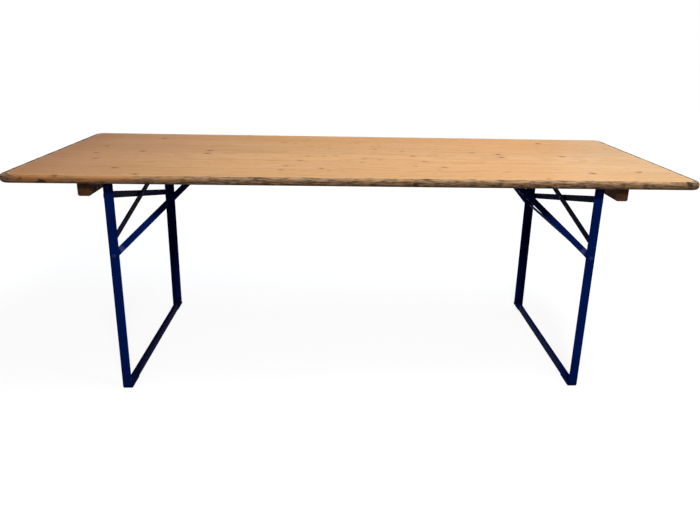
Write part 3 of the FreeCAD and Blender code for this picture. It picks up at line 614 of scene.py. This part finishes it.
# The spring catches are bent from strip steel, oiled and browned. Each is screwed to the underside of the top
# and holds the pin at the end of a strut.
DARK_STEEL = (0.060, 0.052, 0.046, 1)
PALE_STEEL = (0.125, 0.110, 0.098, 1)
RUST = (0.15, 0.075, 0.035, 1)
spring, tree, shader, place = new_material("browned_spring_steel")
brushed = noise(tree, stretched(tree, place, 40.0, 900.0, 900.0), 1.0, 3.0)
cloud = noise(tree, place, 90.0, 4.0)
rust = use_group(tree, "ground_in_dirt", {"Vector": place, "Amount": 0.36, "Scale": 2.0})["Mask"]
colour = blend(tree, rust, blend(tree, cloud, DARK_STEEL, PALE_STEEL), RUST)
tree.links.new(colour, shader.inputs["Base Color"])
tree.links.new(between(tree, brushed, 0.3, 0.7, 0.30, 0.48), shader.inputs["Roughness"])
tree.links.new(between(tree, rust, 0.0, 1.0, 1.0, 0.1), shader.inputs["Metallic"])
set_bump(tree, shader, brushed, 0.00008)
finish_nodes(spring, "_catch")

# Hinge plates, leg frames and struts are mild steel, welded or riveted, then dipped in dark blue enamel. A
# dark film of painted shade lies on the braces and the left rail, and pale painted highlights lie where the
# strut arms bend and on the heads of rods and rivets.
DEEP_BLUE = (0.0013, 0.0172, 0.166, 1)
CLEAR_BLUE = (0.0021, 0.0248, 0.224, 1)
# Pale blue of the painted highlights and glints.
HIGHLIGHT_BLUE = (0.085, 0.135, 0.34, 1)
ARRIS_BLUE = (0.020, 0.050, 0.20, 1)
CHIP_RUST = (0.055, 0.028, 0.018, 1)
CHIP_STEEL = (0.16, 0.155, 0.15, 1)
DUST_GREY = (0.011, 0.011, 0.014, 1)
# Dark colour of the painted shade in shut-in corners.
CORNER_SHADE = (0.007, 0.007, 0.009, 1)
# Colour of the dark film of painted shade.
SHADE_FILM = (0.0100, 0.0085, 0.0088, 1)
rod_low, rod_high = (np.array(corner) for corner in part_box("right_strut_rod"))
rod_middle = (rod_low + rod_high) / 2
# The ring of the painted highlight about a strut rod.
HIGHLIGHT_INNER_SPAN = (0.023, 0.027)
HIGHLIGHT_OUTER_SPAN = (0.038, 0.034)
HEAD_SPAN = (rod_high[1] - 0.0011, rod_high[1] - 0.0001)
SPLASH_SPAN = (0.10, 0.0)
ARRIS_RADIUS = 0.0016
CORNER_REACH = 0.03

# Edge finder: a rounded normal is compared with the true one, so that sharp arrises stand out.
tree, given, result = new_group("arris_finder", {"Radius": 0.002}, {"Mask": 1})
soft = node(tree, "ShaderNodeBevel", {"Radius": given["Radius"]}, samples=4).outputs[0]
true = node(tree, "ShaderNodeNewGeometry").outputs["Normal"]
alike = vector_calc(tree, "DOT_PRODUCT", soft, true)["Value"]
tree.links.new(between(tree, alike, 0.985, 0.80), result["Mask"])


def blue_enamel(name, edge_wear, sheen, dust=0.2, bend_highlight=0.0, shade_film=0.0, head_glint=0.0):
    """Dark royal blue enamel over steel: chipped along its arrises, specked, darkened by painted shade in its
    corners and dusty where it faces up. A strut arm also carries a pale painted highlight where it bends away
    from the leg, in a ring about its rod. Rods and rivets get a painted glint on their outer heads, and a
    dark film of painted shade lies over some pieces."""
    made, tree, shader, place = new_material(name)
    along, across, height = split(tree, place)
    slow = noise(tree, place, 6.0, 4.0)
    fine = noise(tree, place, 420.0, 3.0)
    colour = blend(tree, between(tree, slow, 0.3, 0.7), DEEP_BLUE, CLEAR_BLUE)
    # Painted highlight: a pale ring where the arm bends out from behind the leg.
    if bend_highlight:
        beside = calc(tree, "SUBTRACT", calc(tree, "ABSOLUTE", along), rod_middle[0])
        above = calc(tree, "SUBTRACT", height, rod_middle[2])
        away = calc(tree, "SQRT", plus(tree, times(tree, beside, beside), times(tree, above, above)))
        ring = times(tree, between(tree, away, *HIGHLIGHT_INNER_SPAN), between(tree, away, *HIGHLIGHT_OUTER_SPAN))
        patchy = between(tree, noise(tree, place, 130.0, 3.0), 0.35, 0.6, 0.35, 1.0)
        ring = times(tree, ring, times(tree, patchy, bend_highlight))
        colour = blend(tree, ring, colour, HIGHLIGHT_BLUE)
    # Painted glint on the outer heads of rods and rivets.
    if head_glint:
        head = between(tree, calc(tree, "ABSOLUTE", across), *HEAD_SPAN, 0.0, head_glint)
        colour = blend(tree, head, colour, HIGHLIGHT_BLUE)
    arris = use_group(tree, "arris_finder", {"Radius": ARRIS_RADIUS})["Mask"]
    wear = plus(tree, times(tree, arris, edge_wear), 0.16)
    worn = use_group(tree, "ground_in_dirt", {"Vector": place, "Amount": wear, "Scale": 2.2})["Mask"]
    colour = blend(tree, times(tree, arris, 0.2), colour, ARRIS_BLUE)
    chip_tone = between(tree, noise(tree, place, 75.0, 3.0), 0.42, 0.58)
    colour = blend(tree, worn, colour, blend(tree, chip_tone, CHIP_RUST, CHIP_STEEL))
    up = split(tree, node(tree, "ShaderNodeNewGeometry").outputs["Normal"])[2]
    settled = between(tree, up, 0.3, 1.0, 0.0, 0.30)
    settled = plus(tree, settled, between(tree, height, *SPLASH_SPAN, 0.0, 0.16))
    settled = plus(tree, settled, 0.18)
    grey = use_group(tree, "ground_in_dirt", {"Vector": place, "Amount": settled, "Scale": 1.0})["Mask"]
    colour = blend(tree, times(tree, grey, dust), colour, DUST_GREY)
    # Painted shade: corners that the occlusion node finds shut in are darkened.
    shut_in = node(tree, "ShaderNodeAmbientOcclusion", {"Distance": CORNER_REACH}, samples=8).outputs["AO"]
    colour = blend(tree, between(tree, shut_in, 0.9, 0.35, 0.0, 0.75), colour, CORNER_SHADE)
    # Painted shade: a dark film over the pieces that lie in shade.
    if shade_film:
        film = between(tree, noise(tree, place, 24.0, 4.0), 0.3, 0.7, 0.75 * shade_film, shade_film)
        colour = blend(tree, film, colour, SHADE_FILM)
    tree.links.new(colour, shader.inputs["Base Color"])
    gloss = plus(tree, between(tree, slow, 0.3, 0.7, 0.30, 0.42), times(tree, grey, 0.3))
    tree.links.new(plus(tree, gloss, times(tree, worn, 0.2), True), shader.inputs["Roughness"])
    shader.inputs["Specular IOR Level"].default_value = sheen
    skin = calc(tree, "SUBTRACT", times(tree, fine, 0.3), worn)
    set_bump(tree, shader, skin, 0.00016, 0.7)
    return made


enamel = blue_enamel("blue_enamel", 0.12, 0.005)
finish_nodes(enamel, "_hinge_plate", "_leg", "_foot", "right_bottom_rail")
# The braces and the left rail carry a dark film of painted shade.
shaded_enamel = blue_enamel("shaded_blue_enamel", 0.12, 0.005, dust=0.35, shade_film=0.82)
finish_nodes(shaded_enamel, "_inner_brace", "_outer_brace")
shaded_rail_enamel = blue_enamel("shaded_rail_blue_enamel", 0.12, 0.002, dust=0.35, shade_film=0.62)
finish_nodes(shaded_rail_enamel, "left_bottom_rail")
arm_enamel = blue_enamel("bent_bar_enamel", 0.12, 0.008, bend_highlight=0.9)
finish_nodes(arm_enamel, "_front_arm", "_rear_arm")
# Rods, rivets and pins: more worn at their edges, with a painted glint on their heads.
worn_glinting_enamel = blue_enamel("worn_glinting_blue_enamel", 0.36, 0.03, head_glint=0.32)
finish_nodes(worn_glinting_enamel, "_strut_rod", "_rivets", "_catch_pin")

# The studio floor is a white sheet just below the feet. It glows for the camera, keeps the table's shadow and
# is clear from below, so that the underside can be seen.
FLOOR_REACH = 30
FLOOR_DROP = 0.0005
FLOOR_GREY = (0.30, 0.30, 0.30, 1)
BOUNCE_GREY = (0.12, 0.12, 0.12, 1)
GLOW_SPAN = (1.0, 5.0)
corners = [(x * FLOOR_REACH, y * FLOOR_REACH, -FLOOR_DROP) for x, y in ((-1, -1), (1, -1), (1, 1), (-1, 1))]
floor_mesh = bpy.data.meshes.new("studio_floor")
floor_mesh.from_pydata(corners, [], [(0, 1, 2, 3)])
floor = bpy.data.objects.new("studio_floor", floor_mesh)
bpy.context.scene.collection.objects.link(floor)


def seen_directly(tree):
    """1 for rays from the camera and for those that metal or glass sends on, else 0."""
    path = node(tree, "ShaderNodeLightPath").outputs
    either = calc(tree, "MAXIMUM", path["Is Camera Ray"], path["Is Glossy Ray"])
    return calc(tree, "MAXIMUM", either, path["Is Transmission Ray"])


white = bpy.data.materials.new("white_floor")
white.use_nodes = True
tree = white.node_tree
tree.nodes.clear()
place = node(tree, "ShaderNodeTexCoord").outputs["Object"]
away = node(tree, "ShaderNodeVectorMath", {0: place}, operation="LENGTH").outputs["Value"]
glow = node(tree, "ShaderNodeEmission", {"Strength": between(tree, away, *GLOW_SPAN, 0.89, 0.98)}).outputs[0]
pale = node(tree, "ShaderNodeBsdfDiffuse", {"Color": FLOOR_GREY}).outputs[0]
shown = node(tree, "ShaderNodeAddShader", {0: glow, 1: pale}).outputs[0]
bounced = node(tree, "ShaderNodeBsdfDiffuse", {"Color": BOUNCE_GREY}).outputs[0]
mixed = node(tree, "ShaderNodeMixShader", {0: seen_directly(tree), 1: bounced, 2: shown}).outputs[0]
clear = node(tree, "ShaderNodeBsdfTransparent").outputs[0]
from_below = node(tree, "ShaderNodeNewGeometry").outputs["Backfacing"]
mixed = node(tree, "ShaderNodeMixShader", {0: from_below, 1: mixed, 2: clear}).outputs[0]
node(tree, "ShaderNodeOutputMaterial", {"Surface": mixed})
floor_mesh.materials.append(white)

# The backdrop is white for the camera and dim for the light that falls on the table. A broad lamp hangs above
# the right end, a smaller one stands behind the camera, a faint one at the right rear and a low one behind.
world = bpy.data.worlds.new("studio")
world.use_nodes = True
bpy.context.scene.world = world
tree = world.node_tree
tree.nodes.clear()
shade = node(tree, "ShaderNodeMapRange", {"Value": seen_directly(tree), "To Min": 0.07, "To Max": 1.0})
back = node(tree, "ShaderNodeBackground", {"Color": (1, 1, 1, 1), "Strength": shade.outputs[0]}).outputs[0]
node(tree, "ShaderNodeOutputWorld", {"Surface": back})


def soft_lamp(name, place, aim, size, watts, tint):
    """A square lamp that faces a point."""
    lamp = bpy.data.lights.new(name, "AREA")
    lamp.color = tint
    lamp.size = size
    lamp.energy = watts
    held = bpy.data.objects.new(name, lamp)
    bpy.context.scene.collection.objects.link(held)
    held.location = place
    held.visible_camera = False
    held.rotation_euler = Vector(np.subtract(aim, place)).to_track_quat("-Z", "Y").to_euler()


soft_lamp("window_lamp", (1.08, -0.2, 3.3), (0.86, -0.1, 0.78), 1.6, 67, (0.87, 1.0, 1.12))
soft_lamp("front_lamp", (0.3, -2.6, 2.9), (0.0, -0.3, 0.4), 0.6, 43, (1.0, 0.88, 0.88))
soft_lamp("side_lamp", (2.75, 2.9, 1.65), (0.3, 0.2, 0.5), 1.3, 4.2, (0.74, 1.0, 1.14))
soft_lamp("rear_lamp", (-0.5, 2.9, 0.5), (0.0, 0.3, 0.4), 0.45, 6, (1.0, 1.0, 1.0))

# The camera stands in front of the table, above its top and a little left of its middle. Its axis meets the
# picture above the middle.
LENS_PIXELS = 515.998
PICTURE_WIDTH = 700.0
PICTURE_HEIGHT = 520.0
AXIS_PIXEL = (357.75, 165.63)
PITCH = math.radians(14.114)
YAW = math.radians(2.437)
ROLL = math.radians(-1.318)
EYE_PLACE = (-0.0719, -1.8814, 1.2084)
SENSOR_WIDTH = 36.0
ahead = np.array([math.sin(YAW) * math.cos(PITCH), math.cos(YAW) * math.cos(PITCH), -math.sin(PITCH)])
level_right = np.array([math.cos(YAW), -math.sin(YAW), 0.0])
level_down = np.cross(ahead, level_right)
right = math.cos(ROLL) * level_right + math.sin(ROLL) * level_down
down = -math.sin(ROLL) * level_right + math.cos(ROLL) * level_down
lens = bpy.data.cameras.new("photo_camera")
lens.sensor_fit = "HORIZONTAL"
lens.sensor_width = SENSOR_WIDTH
lens.lens = SENSOR_WIDTH * LENS_PIXELS / PICTURE_WIDTH
lens.shift_x = (PICTURE_WIDTH / 2 - AXIS_PIXEL[0]) / PICTURE_WIDTH
lens.shift_y = (AXIS_PIXEL[1] - PICTURE_HEIGHT / 2) / PICTURE_WIDTH
camera = bpy.data.objects.new("photo_camera", lens)
bpy.context.scene.collection.objects.link(camera)
stand = np.eye(4)
stand[:3] = np.column_stack([right, -down, -ahead, EYE_PLACE])
camera.matrix_world = stand.T.tolist()
bpy.context.scene.camera = camera
bpy.context.scene.view_settings.view_transform = "Standard"
